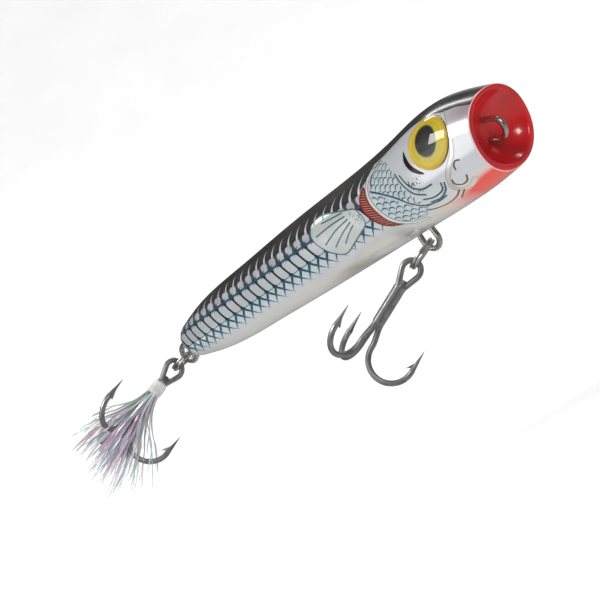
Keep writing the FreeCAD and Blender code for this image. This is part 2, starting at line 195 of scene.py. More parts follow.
def smooth_line(points, closed=False, step=0.12):
    """A drawn line through a few points, rounded as a pen rounds it."""
    marks = np.array(points, float)
    if closed:
        marks = np.concatenate([marks[-1:], marks, marks[:2]])
    else:
        marks = np.concatenate([2 * marks[:1] - marks[1:2], marks, 2 * marks[-1:] - marks[-2:-1]])
    out = []
    for a, b, c, d in zip(marks[:-3], marks[1:-2], marks[2:-1], marks[3:]):
        t = np.linspace(0, 1, max(2, int(np.linalg.norm(c - b) / step)), endpoint=False)[:, None]
        out.append(0.5 * (2 * b + (c - a) * t + (2 * a - 5 * b + 4 * c - d) * t ** 2
                          + (3 * b - a - 3 * c + d) * t ** 3))
    return np.concatenate(out + [marks[-2:-1]])


REACH, FAR = 3.0, 9.0      # mm: how far round a line is measured, and what stands for further


def from_line(*drawn):
    """Distance from every point of the skin to the nearest of some drawn lines."""
    best = np.full(len(skin_mm), FAR)
    for points in drawn:
        line = smooth_line(points)
        near = ((run > line[:, 0].min() - REACH) & (run < line[:, 0].max() + REACH)
                & (arc > line[:, 1].min() - REACH) & (arc < line[:, 1].max() + REACH))
        at = np.stack([run[near], arc[near]], 1)
        nearest = np.full(len(at), FAR)
        for start, end in zip(line[:-1], line[1:]):
            step = end - start
            share = np.clip(((at - start) @ step) / max(step @ step, 1e-9), 0, 1)[:, None]
            nearest = np.minimum(nearest, np.linalg.norm(at - start - step * share, axis=1))
        best[near] = np.minimum(best[near], nearest)
    return best


def from_edge(points):
    """Distance to a closed outline, below zero inside it."""
    line = smooth_line(points, True)
    away = from_line(points + points[:2])
    inside = np.zeros(len(skin_mm), bool)
    for start, end in zip(line, np.roll(line, -1, 0)):
        crosses = (start[1] > arc) != (end[1] > arc)
        climb = end[1] - start[1] if end[1] != start[1] else 1e-9
        at = start[0] + (arc - start[1]) * (end[0] - start[0]) / climb
        inside ^= crosses & (run < at)
    return np.where(inside, -away, away)


def stencil(name, values):
    """Keeps one of the paint's measures on the skin for its material to read."""
    values = np.asarray(values, np.float32)
    body.data.attributes.new(name, "FLOAT", "POINT").data.foreach_set("value", values)


# The stencils' outlines and lines as (run, arc) points, the same on both sides.
FIN = [(-26.1, 2.8), (-28.7, 3.6), (-32.3, 4.6), (-34.6, 4.3), (-35.4, 3), (-35.3, 1.8), (-34.7, 0.6),
       (-33.6, -0.9), (-32.1, -2.2), (-30.8, -2.5), (-28.2, -1.8), (-25.7, -1.1), (-24, -0.5),
       (-23.6, 0.8), (-24.4, 2.2)]
FIN_RAYS = [[(-27.2, 2.9), (-29.5, 3.1), (-32.4, 3.4)], [(-27, 2.2), (-30.5, 2.3), (-34.4, 2.1)],
            [(-26.6, 1.6), (-30, 1.2), (-33.4, 0.3)], [(-26.4, 1), (-29, 0.3), (-31.9, -0.8)],
            [(-26.2, 0.4), (-28, -0.3), (-29.8, -1.2)]]
GILL = [(-21.2, 4.4), (-22.5, 3.3), (-23, 1.8), (-22.7, 0.2), (-21.9, -1.5), (-20.6, -2.9), (-18.6, -3.9),
        (-17.4, -4.3), (-18.7, -3.2), (-19.7, -1.8), (-20.4, 0), (-20.8, 1.8), (-20.7, 3.3)]
GILL_EDGE = [(-18.2, 5.9), (-19.8, 4.9), (-20.5, 3.4), (-20.6, 1.8), (-20.2, 0), (-19.5, -1.9),
             (-18.4, -3.4), (-16.9, -4.7), (-14.8, -5.6)]
CHEEK_UPPER = [(-19.6, 3.2), (-19.2, 4.8), (-18, 5.9), (-15.6, 6.2), (-14.2, 4.6), (-13.5, 2.6),
               (-13.2, 0.6), (-12.6, -1.2), (-12, -2.9), (-13.6, -2), (-15.6, 0.2), (-17.6, 1.8)]
CHEEK_LOWER = [(-19.9, 2.5), (-19.9, 0.6), (-19.3, -1.2), (-18.4, -2.9), (-17, -4.3), (-14.6, -4.9),
               (-12.4, -4.6), (-11.4, -3.7), (-13.4, -2.7), (-15.6, -0.4), (-17.8, 1.4)]
CHEEK_LINES = [[(-19.8, 3), (-17.7, 1.7), (-15.6, 0.1), (-13.8, -2), (-12.2, -3.3), (-9.8, -4), (-8, -3.9)],
               [(-13.4, 3), (-12.9, 1), (-12.1, -0.8), (-10.4, -2)],
               [(-12.6, 2.4), (-11.8, 0.2), (-10.2, -1), (-8.2, -1.2)],
               [(-11.5, -2.4), (-9.6, -3), (-7.6, -2.8), (-6.8, -1.8)],
               [(-10.9, -3.4), (-9, -3.7), (-7.2, -3.1), (-6.3, -2)],
               [(-19.3, 3.4), (-18.9, 4.7), (-17.9, 5.9), (-16.4, 6.6)]]
JAW = [(-2.4, 7), (-1.8, 4.8), (-1.6, 2.4), (-2.4, 0.7), (-4, -0.6), (-5.4, -2), (-6, -3.5), (-5.4, -4.7),
       (-3.9, -4.9), (-2.6, -4.2)]
MOUTH = [(-5.9, -4.4), (-7.2, -5.1), (-9.2, -5.4), (-11.2, -5), (-12.6, -4.4)]
LIP_LINES = [[(-5.1, -2.4), (-5.3, -3.2), (-4.6, -3.9), (-3.6, -3.8), (-2.9, -3)],
             [(-3.4, -1.4), (-3.2, -0.8), (-2.6, -0.4), (-2, -0.6)],
             [(-5.4, -4.9), (-6.4, -5.5), (-7.2, -6)]]
EYE_SHADOW = [(-10.3, 5.2), (-10.7, 3.8), (-10.2, 2.2), (-9, 1), (-8, 0.6), (-8.8, 1.6), (-9.6, 2.8),
              (-10, 4.2)]

stencil("run", run)
stencil("arc", arc)
stencil("fin", from_edge(FIN))
stencil("fin_rays", from_line(*FIN_RAYS))
stencil("gill", from_edge(GILL))
stencil("gill_edge", from_line(GILL_EDGE))
stencil("cheek_upper", from_edge(CHEEK_UPPER))
stencil("cheek_lower", from_edge(CHEEK_LOWER))
stencil("cheek_lines", from_line(*CHEEK_LINES))
stencil("jaw", from_line(JAW))
stencil("mouth", from_line(MOUTH, *LIP_LINES))
stencil("eye_shadow", from_edge(EYE_SHADOW))

# Where the flank's scales stop at the gill, as (run, arc), and where the dark back starts.
SCALES_END = [(-15.4, -6), (-17.4, -4.6), (-19.3, -3.5), (-22.1, -1.1), (-22.9, 1.3), (-22.8, 3),
              (-21.6, 4.3), (-19.6, 5.2), (-18.3, 6.4), (-17.8, 12)]
BACK_EDGE = [(-79, 4.6), (-70, 5), (-60, 5.3), (-44, 5.7), (-25, 6.1), (-16, 6.9), (-9, 8.3), (-5, 8.5),
             (-2.5, 7.4), (-0.2, 6.9), (2.5, 5.5)]
end_run, end_arc = zip(*SCALES_END)
stencil("ahead_of_gill", run - np.interp(arc, end_arc, end_run))
stencil("above_band", arc - np.interp(run, *zip(*BACK_EDGE)))
throat = np.clip((run + 15) / 14, 0, 1) * np.clip((-arc - 3.2 + 0.1 * np.clip(run + 2, -12, 0)) / 2.4, 0, 1)
stencil("throat", throat ** 1.3)


class Field:
    """A value that varies over a piece, built from nodes of its material and joined by plain sums."""

    def __init__(self, tree, socket):
        self.tree, self.socket = tree, socket

    def math(self, kind, *others):
        node = self.tree.nodes.new("ShaderNodeMath")
        node.operation = kind
        for slot, value in zip(node.inputs, (self,) + others):
            if isinstance(value, Field):
                self.tree.links.new(value.socket, slot)
            else:
                slot.default_value = value
        return Field(self.tree, node.outputs[0])

    def __add__(self, other):
        return self.math("ADD", other)

    def __sub__(self, other):
        return self.math("SUBTRACT", other)

    def __rsub__(self, other):
        return self * -1.0 + other

    def __mul__(self, other):
        return self.math("MULTIPLY", other)

    def __truediv__(self, other):
        return self.math("DIVIDE", other)

    def least(self, other):
        return self.math("MINIMUM", other)

    def most(self, other):
        return self.math("MAXIMUM", other)

    def abs(self):
        return self.math("ABSOLUTE")

    def fraction(self):
        return self.math("FRACT")

    def whole(self):
        return self.math("FLOOR")

    def root(self):
        return self.math("SQRT")

    def from_to(self, start, end, low=0.0, high=1.0):
        """Runs from low to high as the value passes from start to end, and stays there."""
        node = self.tree.nodes.new("ShaderNodeMapRange")
        self.tree.links.new(self.socket, node.inputs["Value"])
        for name, value in (("From Min", start), ("From Max", end), ("To Min", low), ("To Max", high)):
            if isinstance(value, Field):
                self.tree.links.new(value.socket, node.inputs[name])
            else:
                node.inputs[name].default_value = value
        return Field(self.tree, node.outputs["Result"])

    def below(self, edge, soft=0.04):
        """1 where the value is under the edge, 0 above it, with a sprayed edge `soft` mm wide."""
        return (self - edge).from_to(-soft, soft, 1.0, 0.0)

    def above(self, edge, soft=0.04):
        """1 where the value is over the edge, 0 under it."""
        return (self - edge).from_to(-soft, soft)


def finish(name):
    """A new material with its shader, and its node tree."""
    made = bpy.data.materials.new(name)
    made.use_nodes = True
    return made, made.node_tree, made.node_tree.nodes["Principled BSDF"]


def measured(tree, name):
    node = tree.nodes.new("ShaderNodeAttribute")
    node.attribute_name = name
    return Field(tree, node.outputs["Fac"])


def noise(tree, scale, detail=2.0, stretch=(1, 1, 1), roughness=0.5):
    """Noise in the piece's own coordinates; scale is in bumps per metre."""
    place, mapping = tree.nodes.new("ShaderNodeTexCoord"), tree.nodes.new("ShaderNodeMapping")
    node = tree.nodes.new("ShaderNodeTexNoise")
    mapping.inputs["Scale"].default_value = stretch
    tree.links.new(place.outputs["Object"], mapping.inputs["Vector"])
    tree.links.new(mapping.outputs["Vector"], node.inputs["Vector"])
    node.inputs["Scale"].default_value = scale
    node.inputs["Detail"].default_value = detail
    node.inputs["Roughness"].default_value = roughness
    return Field(tree, node.outputs["Fac"])


def over(tree, under, mask, colour):
    """A coat of colour over another through a mask; either may be a socket or a plain colour."""
    node = tree.nodes.new("ShaderNodeMix")
    node.data_type = "RGBA"
    tree.links.new(mask.socket, node.inputs["Factor"])
    for slot, value in ((node.inputs["A"], under), (node.inputs["B"], colour)):
        if isinstance(value, tuple):
            slot.default_value = value + (1.0,)
        else:
            tree.links.new(value, slot)
    return node.outputs["Result"]


TEAL, NAVY, FOIL = (0.014, 0.095, 0.155), (0.010, 0.035, 0.055), (0.68, 0.70, 0.72)
PITCH, STAR_RUN = 2.36, -37.7                 # the scale rows' pitch, and where one star sits, in mm
NET_FOOT, NET_TOP = -3.3, -0.48               # each row's place, in mm up from the middle of the side
BRICK_MIDDLE, BRICK_TOP, CHAIN, DROP_MIDDLE, SLASH_FOOT = 0.73, 2.0, 2.15, 2.95, 3.62

skin_paint, tree, shader = finish("painted_foil")
fore, rise = measured(tree, "run"), measured(tree, "arc")      # fore of the line tie; up from mid side
fleck = noise(tree, 420, 3)
broad = noise(tree, 90, 2)

# foil: bright silver, cloudier and creamier underneath, faintly lilac and green up the side
colour = over(tree, FOIL, broad.from_to(0.42, 0.62, 0.0, 0.5), (0.62, 0.60, 0.65))
colour = over(tree, colour, fleck.from_to(0.5, 0.7, 0.0, 0.35), (0.62, 0.71, 0.70))
colour = over(tree, colour, rise.from_to(-3.0, -4.6, 0.0, 0.85), (0.74, 0.73, 0.68))
# painted dark reflection: beige grey patches low on the belly, along the middle of the body
painted_belly_reflection = (noise(tree, 160, 2, (0.4, 1, 1)).from_to(0.48, 0.62) * rise.from_to(-4.2, -5.6)
               * fore.from_to(-16, -22) * fore.from_to(-46, -36))
colour = over(tree, colour, painted_belly_reflection, (0.34, 0.32, 0.27))

# flank, in rows all on one pitch: a net, bricks, a chain line with stars, drops, then black slashes
flank = measured(tree, "ahead_of_gill").below(0.0)
lean = (fore + rise * 0.5 - (STAR_RUN + 1.075)) / PITCH
across = (lean.fraction() - 0.5).abs() * PITCH
brick_x = (across - 0.42).most(0.0)
brick_y = ((rise - BRICK_MIDDLE).abs() - 0.62).most(0.0)
brick = (brick_x * brick_x + brick_y * brick_y).root() - 0.50
brick_zone = rise.below(BRICK_TOP) * rise.above(NET_TOP - 0.04)
tint = (lean.whole() * 0.37).fraction()
brick_fill = over(tree, (0.60, 0.63, 0.66), tint.from_to(0.2, 0.9, 0.0, 0.7), (0.62, 0.70, 0.66))
brick_fill = over(tree, brick_fill, fleck.from_to(0.4, 0.7, 0.0, 0.6), (0.70, 0.66, 0.72))
brick_colour = over(tree, brick_fill, brick.from_to(-0.02, 0.06), NAVY)
net_a = (((fore + rise * 1.05 - (STAR_RUN + 0.82)) / PITCH).fraction() - 0.5).abs()
net_b = (((fore - rise * 1.05 - (STAR_RUN + 1.87)) / PITCH).fraction() - 0.5).abs()
net = (0.5 - net_a.most(net_b)) * PITCH * 0.72
net_width = rise.from_to(-1.2, -3.25, 0.25, -0.03)
net_mask = (net - net_width).below(0.0, 0.05) * rise.below(NET_TOP) * rise.math("GREATER_THAN", NET_FOOT)
net_fill = over(tree, colour, rise.from_to(-3.0, -1.6, 0.0, 0.6), (0.62, 0.71, 0.72))
net_colour = over(tree, net_fill, net_mask, over(tree, TEAL, rise.from_to(-1.4, -2.6), (0.03, 0.17, 0.24)))
node_x = (((fore - STAR_RUN) / PITCH + 0.5).fraction() - 0.5).abs() * PITCH
line_y = (rise - CHAIN).abs()
star = ((line_y - node_x * 0.75).abs().below(0.10) * node_x.below(0.7)).most(line_y.below(0.10))
drop_x = (((fore + rise * 0.3 - STAR_RUN - 0.64) / PITCH).fraction() - 0.5) * PITCH
drop_y = (rise - DROP_MIDDLE) * 1.1
drop = (drop_x * drop_x * 1.15 + drop_y * drop_y).root() - 0.97
drop_colour = over(tree, over(tree, (0.68, 0.69, 0.71), fleck.from_to(0.4, 0.65), (0.52, 0.50, 0.53)),
                   drop.from_to(-0.16, 0.02), (0.07, 0.085, 0.10))
up = (rise - 3.7).most(0.0)
slash_x = (((fore - up * up * 0.26 + up * 0.15 - STAR_RUN) / PITCH).fraction() - 0.5).abs() * PITCH
past_edge = measured(tree, "above_band")
slash = slash_x.below(past_edge.from_to(-2.4, 0.15, 0.30, -0.03), 0.05)
dark_back = over(tree, (0.022, 0.022, 0.024), slash, (0.80, 0.80, 0.81))
flank_colour = over(tree, net_colour, brick_zone, brick_colour)
flank_colour = over(tree, flank_colour, rise.above(BRICK_TOP), drop_colour)
flank_colour = over(tree, flank_colour, rise.above(SLASH_FOOT, 0.12), dark_back)
flank_colour = over(tree, flank_colour, star * fore.below(-34.5, 0.6), TEAL)
flank_colour = over(tree, flank_colour, rise.from_to(-3.2, -3.4), colour)
colour = over(tree, colour, flank, flank_colour)

# head: fin, gill, cheek scales, jaw
fin = measured(tree, "fin")
fin_fill = over(tree, (0.70, 0.71, 0.71), fleck.from_to(0.35, 0.65), (0.58, 0.66, 0.63))
base_x, base_y = fore + 24.8, rise - 1.3              # the fin's root, which is speckled
base = (base_x * base_x + base_y * base_y).root()
specks = noise(tree, 2600, 1).from_to(0.58, 0.62)
fin_fill = over(tree, fin_fill, base.below(1.3, 0.2) * specks, (0.25, 0.40, 0.38))
fin_fill = over(tree, fin_fill, measured(tree, "fin_rays").below(0.11), (0.10, 0.15, 0.17))
colour = over(tree, colour, fin.below(0.14), (0.12, 0.18, 0.20))
colour = over(tree, colour, fin.below(-0.08), fin_fill)

mottle = noise(tree, 1500, 1)
for zone, skew in (("cheek_upper", 0.55), ("cheek_lower", -0.35)):
    cell, layer = (fore + rise * skew) / 1.5, (rise - fore * skew) / 0.95
    stagger = (layer.whole() * 0.5).fraction()
    cell_x = ((cell + stagger).fraction() - 0.5) * 2.0
    bow = (1.0 - cell_x * cell_x).most(0.0).root()
    outline = (layer.fraction() - bow * 0.75 - 0.12).abs().below(0.13, 0.06)
    patch = over(tree, (0.58, 0.68, 0.71), mottle.from_to(0.4, 0.65), (0.74, 0.77, 0.78))
    patch = over(tree, patch, outline, (0.03, 0.13, 0.18))
    colour = over(tree, colour, measured(tree, zone).below(-0.05, 0.1), patch)
colour = over(tree, colour, measured(tree, "cheek_lines").below(0.14), (0.022, 0.10, 0.15))
freckle_x, freckle_y = fore + 10.6, rise - 0.2        # a few freckles under the eye
freckles = (freckle_x * freckle_x + freckle_y * freckle_y).root().below(1.5, 0.3)
colour = over(tree, colour, freckles * specks, (0.10, 0.13, 0.14))
gill = measured(tree, "gill")
comb = (((rise * 0.94 + fore * 0.34) / 0.36).fraction() - 0.5).abs()
gill_fill = over(tree, (0.24, 0.026, 0.016), comb.below(0.12, 0.06) * gill.below(-0.35), (0.62, 0.36, 0.30))
colour = over(tree, colour, gill.below(0.0), gill_fill)
colour = over(tree, colour, measured(tree, "gill_edge").below(0.26), (0.78, 0.78, 0.76))
colour = over(tree, colour, (measured(tree, "gill_edge") - 0.32).abs().below(0.06), (0.12, 0.13, 0.13))

# snout, throat and back
# the snout above the middle line, behind the face: partly the paint's own pinkish tint, partly painted grey
# shade
snout = fore.from_to(-3.0, 1.0) * rise.from_to(1.0, 5.0)
colour = over(tree, colour, snout * 0.85, (0.42, 0.33, 0.36))
throat = measured(tree, "throat")
throat_red = over(tree, (0.60, 0.24, 0.16), throat.from_to(0.1, 0.45), (0.56, 0.022, 0.006))
colour = over(tree, colour, (throat * 1.5).least(0.96), throat_red)
jaw = measured(tree, "jaw")
colour = over(tree, colour, jaw.below(0.42), (0.42, 0.41, 0.38))
# the white jaw line greys towards the bottom: painted shade
jaw_white_painted_shade = over(tree, (0.78, 0.77, 0.74), rise.from_to(0.0, -2.5), (0.50, 0.50, 0.46))
colour = over(tree, colour, jaw.below(0.26), jaw_white_painted_shade)
colour = over(tree, colour, measured(tree, "mouth").below(0.14), (0.10, 0.08, 0.07))
colour = over(tree, colour, measured(tree, "eye_shadow").below(0.02), (0.02, 0.015, 0.012))
back = past_edge.above(0.0, 0.12)
black = over(tree, (0.016, 0.015, 0.015), broad.from_to(0.45, 0.62), (0.035, 0.032, 0.03))
colour = over(tree, colour, back, black)

# face: a fine pale pink edge on the rounded rim, a painted highlight, and red lacquer in the cup
cup = measured(tree, "into_cup")
lacquer = over(tree, (0.44, 0.008, 0.010), broad.from_to(0.44, 0.6), (0.32, 0.005, 0.008))
# painted highlight: pale pink on the rim's rounded edge, before the lacquer starts
colour = over(tree, colour, cup.above(0.02, 0.03), (0.62, 0.40, 0.36))
colour = over(tree, colour, cup.above(0.10, 0.03), lacquer)
tree.links.new(colour, shader.inputs["Base Color"])

dark = back.most(rise.above(3.9, 0.2) * (1.0 - slash) * flank)
painted = dark.most(cup.above(0.02)).most((throat * 1.5).least(1.0))
metal = (1.0 - painted) * 0.62
tree.links.new(metal.socket, shader.inputs["Metallic"])
tree.links.new((broad * 0.10 + fleck * 0.08 + 0.12).socket, shader.inputs["Roughness"])
coat = (painted * 0.45 + dark * 0.35).from_to(0.0, 0.9, 0.9, 0.0)
tree.links.new(coat.socket, shader.inputs["Coat Weight"])
shader.inputs["Coat Roughness"].default_value = 0.04
bump = tree.nodes.new("ShaderNodeBump")
bump.inputs["Strength"].default_value = 0.25
bump.inputs["Distance"].default_value = 0.00004
relief = (fleck * 0.5 + brick.from_to(-0.3, 0.1) * flank * -0.6) * (1.0 - dark)
tree.links.new(relief.socket, bump.inputs["Height"])
tree.links.new(bump.outputs["Normal"], shader.inputs["Normal"])

body.data.materials.append(skin_paint)
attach(body, "body")
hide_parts("left_shell", "right_shell")

# ---------------------------------------------------------------- eyes
# A printed foil disc in a shallow round seat on each side, under a clear epoxy cap.
# Yellow iris darkening to gold at its edge, with an oval pupil set a little up and back.

EYE_STATION, EYE_ANGLE, EYE_RADIUS, PUPIL_RADIUS = 74.2, math.radians(30), 3.85, 1.95
bpy.context.view_layer.update()


def eye_cap(name, side, lift, crown, sink):
    """A round cap that follows the skin: lift above it at the edge, crown more in the middle."""
    seat = skin_at(np.array([EYE_STATION - 0.5, EYE_STATION + 0.5, EYE_STATION, EYE_STATION]),
                   np.array([EYE_ANGLE, EYE_ANGLE, EYE_ANGLE - 0.035, EYE_ANGLE + 0.035]))
    out = Vector(np.cross(seat[3] - seat[2], seat[1] - seat[0])).normalized()
    out = Vector((out.x, out.y * side, out.z))
    centre = skin_at(np.array([EYE_STATION]), np.array([EYE_ANGLE]))[0] - np.array([TIE_X, 0, TIE_Z])
    centre = Vector((centre[0], centre[1] * side, centre[2]))
    fore = (Vector((1, 0, 0)) - out * out.x).normalized()
    upward = fore.cross(out)
    upward = upward if upward.z > 0 else -upward
    bpy.ops.object.select_all(action="DESELECT")
    bpy.ops.mesh.primitive_uv_sphere_add(segments=96, ring_count=48, radius=1)
    cap = bpy.context.object
    cap.name = name
    measures = {"radius": [], "fore": [], "up": []}
    for vertex in cap.data.vertices:
        share = math.hypot(vertex.co.x, vertex.co.y)
        ahead, above = vertex.co.x * EYE_RADIUS, vertex.co.y * EYE_RADIUS
        at = centre + fore * ahead + upward * above
        hit, spot, _, _ = body.ray_cast((at + out * 5) * MM, -out)
        skin = (spot / MM - at).dot(out) if hit else -1.0
        shape = math.sqrt(max(0.0, 1 - share * share))
        if vertex.co.z > -1e-6 or not shape:
            height = lift + crown * shape
        else:
            height = -sink * shape ** 0.5
        for values, value in zip(measures.values(), (share * EYE_RADIUS, ahead, above)):
            values.append(value)
        vertex.co = (at + out * (skin + height)) * MM
    for measure, values in measures.items():
        cap.data.attributes.new(measure, "FLOAT", "POINT").data.foreach_set("value", values)
    bpy.ops.object.mode_set(mode="EDIT")
    bpy.ops.mesh.select_all(action="SELECT")
    bpy.ops.mesh.normals_make_consistent(inside=False)
    bpy.ops.object.mode_set(mode="OBJECT")
    bpy.ops.object.shade_smooth()
    return cap


iris, tree, shader = finish("printed_iris")
radius, ahead, above = measured(tree, "radius"), measured(tree, "fore"), measured(tree, "up")
grain = noise(tree, 1400, 2)
colour = over(tree, (0.98, 0.78, 0.01), grain.from_to(0.4, 0.7), (0.94, 0.73, 0.02))
colour = over(tree, colour, radius.from_to(2.6, 3.75), (0.78, 0.50, 0.02))
pale = radius.from_to(3.0, 2.0) * above.from_to(-2.5, 1.0, 1.0, 0.0) * 0.5
colour = over(tree, colour, pale, (0.80, 0.78, 0.20))
from_x, from_y = ahead + 0.1, above - 0.15
pupil = (from_x * from_x * 1.1 + from_y * from_y * 0.8).root() - PUPIL_RADIUS
colour = over(tree, colour, pupil.below(0.12, 0.08), (0.35, 0.25, 0.02))
colour = over(tree, colour, pupil.below(0.0, 0.05), (0.010, 0.008, 0.007))
rim_line = radius.above(EYE_RADIUS - 0.15, 0.05) * ahead.from_to(-1.0, 1.5)
colour = over(tree, colour, rim_line, (0.02, 0.02, 0.015))
tree.links.new(colour, shader.inputs["Base Color"])
tree.links.new((grain * 0.15 + 0.25).socket, shader.inputs["Roughness"])
shader.inputs["Coat Weight"].default_value = 0.5
shader.inputs["Coat Roughness"].default_value = 0.05

cap_clear, tree, shader = finish("clear_epoxy_cap")
shader.inputs["Transmission Weight"].default_value = 1.0
shader.inputs["IOR"].default_value = 1.5
tree.links.new((noise(tree, 300, 2) * 0.05 + 0.01).socket, shader.inputs["Roughness"])

for name, side in (("left", 1), ("right", -1)):
    disc = eye_cap(name + "_eye", side, 0.06, 0.02, 0.25)
    disc.data.materials.append(iris)
    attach(disc, "body")
    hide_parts(name + "_eye_disc")
    dome = eye_cap(name + "_eye_cap", side, 0.10, 0.42, -0.09)
    dome.data.materials.append(cap_clear)
    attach(dome, "body")
    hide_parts(name + "_eye_dome")

# ---------------------------------------------------------------- metal parts
# Wire eyes and split rings are bright nickel; the hooks are forged wire under a darker
# satin plating; the weight and the rattle balls are plain steel. They keep their CAD shapes.

wear = bpy.data.node_groups.new("plating_wear", "ShaderNodeTree")
for way, name, kind in (("INPUT", "Colour", "NodeSocketColor"), ("INPUT", "Dull Colour", "NodeSocketColor"),
                        ("INPUT", "Scale", "NodeSocketFloat"), ("INPUT", "Roughness", "NodeSocketFloat"),
                        ("OUTPUT", "Colour", "NodeSocketColor"), ("OUTPUT", "Roughness", "NodeSocketFloat"),
                        ("OUTPUT", "Height", "NodeSocketFloat")):
    wear.interface.new_socket(name=name, in_out=way, socket_type=kind)
given, result = wear.nodes.new("NodeGroupInput"), wear.nodes.new("NodeGroupOutput")
spots, grain = noise(wear, 900, 3), noise(wear, 5200, 2)
wear.links.new(given.outputs["Scale"], spots.socket.node.inputs["Scale"])
mask = spots.from_to(0.42, 0.66)
mixed = over(wear, given.outputs["Colour"], mask, given.outputs["Dull Colour"])
wear.links.new(mixed, result.inputs["Colour"])
rough = Field(wear, given.outputs["Roughness"])
wear.links.new((rough + mask * 0.12 + grain * 0.08).socket, result.inputs["Roughness"])
wear.links.new((grain * 0.6 + spots * 0.4).socket, result.inputs["Height"])


def plated(name, bright, dull, scale, roughness, relief):
    made, tree, shader = finish(name)
    group = tree.nodes.new("ShaderNodeGroup")
    group.node_tree = wear
    group.inputs["Colour"].default_value = bright + (1.0,)
    group.inputs["Dull Colour"].default_value = dull + (1.0,)
    group.inputs["Scale"].default_value = scale
    group.inputs["Roughness"].default_value = roughness
    bump = tree.nodes.new("ShaderNodeBump")
    bump.inputs["Strength"].default_value = relief
    bump.inputs["Distance"].default_value = 0.00003
    tree.links.new(group.outputs["Colour"], shader.inputs["Base Color"])
    tree.links.new(group.outputs["Roughness"], shader.inputs["Roughness"])
    tree.links.new(group.outputs["Height"], bump.inputs["Height"])
    tree.links.new(bump.outputs["Normal"], shader.inputs["Normal"])
    shader.inputs["Metallic"].default_value = 1.0
    return made


metals = {
    "nickel_wire": plated("bright_nickel_wire", (0.66, 0.65, 0.62), (0.44, 0.43, 0.41), 1100, 0.20, 0.3),
    "nickel_ring": plated("bright_nickel_ring", (0.62, 0.61, 0.58), (0.42, 0.41, 0.38), 1300, 0.18, 0.3),
    "hook_wire": plated("satin_dark_nickel", (0.38, 0.38, 0.385), (0.27, 0.27, 0.275), 700, 0.33, 0.5),
    "ballast_steel": plated("cut_steel_weight", (0.42, 0.41, 0.40), (0.25, 0.22, 0.19), 500, 0.38, 0.8),
    "bearing_steel": plated("polished_steel_ball", (0.62, 0.62, 0.62), (0.50, 0.50, 0.50), 600, 0.08, 0.1)}
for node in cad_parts.values():
    for slot in node.material_slots:
        plain = slot.material.name.split(".")[0] if slot.material else None
        if plain in metals:
            slot.material = metals[plain]

# ---------------------------------------------------------------- whipping
# White thread wound in close turns over the tinsel's butts, just below the tail hook's eye,
# and sealed with a little varnish.

HOOK_EYE = Vector((-84.883, -2.151, -1.973))          # middle of the tail treble's eye, in mm
SHANK = Vector((-0.31, -0.92, -0.23)).normalized()
SIDE = SHANK.cross(Vector((0, 0, 1))).normalized()
OVER = SHANK.cross(SIDE)
WRAP_START, WRAP_END, WRAP_RADIUS, THREAD = 3.3, 5.9, 1.05, 0.19


def on_shank(down, radius, angle):
    """A point `down` mm along the shank from the eye, out at a radius and an angle round it."""
    return (HOOK_EYE + SHANK * down + (SIDE * math.cos(angle) + OVER * math.sin(angle)) * radius) * MM


turns = int((WRAP_END - WRAP_START - THREAD) / (THREAD * 0.92))
spiral = bpy.data.curves.new("whipping", "CURVE")
spiral.dimensions = "3D"
spiral.bevel_depth = THREAD / 2 * MM
spiral.bevel_resolution = 2
line = spiral.splines.new("POLY")
count = turns * 28
line.points.add(count)
for i in range(count + 1):
    t = i / count
    swell = WRAP_RADIUS + 0.16 * math.sin(math.pi * t) ** 0.5 - THREAD / 2
    line.points[i].co = (*on_shank(WRAP_START + THREAD / 2 + t * (WRAP_END - WRAP_START - THREAD), swell,
                                   t * turns * 2 * math.pi), 1)
whipping = bpy.data.objects.new("thread_whipping", spiral)
bpy.context.scene.collection.objects.link(whipping)
bpy.ops.object.select_all(action="DESELECT")
bpy.context.view_layer.objects.active = whipping
whipping.select_set(True)
bpy.ops.object.convert(target="MESH")
thread, tree, shader = finish("varnished_white_thread")
thread_painted_shade_noise = noise(tree, 1500, 3)
# the white thread is painted mid grey, with darker grey patches, as painted shade
colour = over(tree, (0.56, 0.56, 0.54), thread_painted_shade_noise.from_to(0.4, 0.65), (0.42, 0.42, 0.42))
tree.links.new(colour, shader.inputs["Base Color"])
tree.links.new((thread_painted_shade_noise * 0.2 + 0.3).socket, shader.inputs["Roughness"])
shader.inputs["Coat Weight"].default_value = 0.35
bump = tree.nodes.new("ShaderNodeBump")
bump.inputs["Distance"].default_value = 0.00002
tree.links.new(noise(tree, 9000, 2).socket, bump.inputs["Height"])
tree.links.new(bump.outputs["Normal"], shader.inputs["Normal"])
whipping.data.materials.append(thread)
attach(whipping, "tail_treble")
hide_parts("thread_wrap")

# ---------------------------------------------------------------- tinsel
# Strands of thin pearl film tied in round the shank and left to fan out past the bends,
# each a flat crinkled ribbon; the film shifts between white, pink, green and violet.

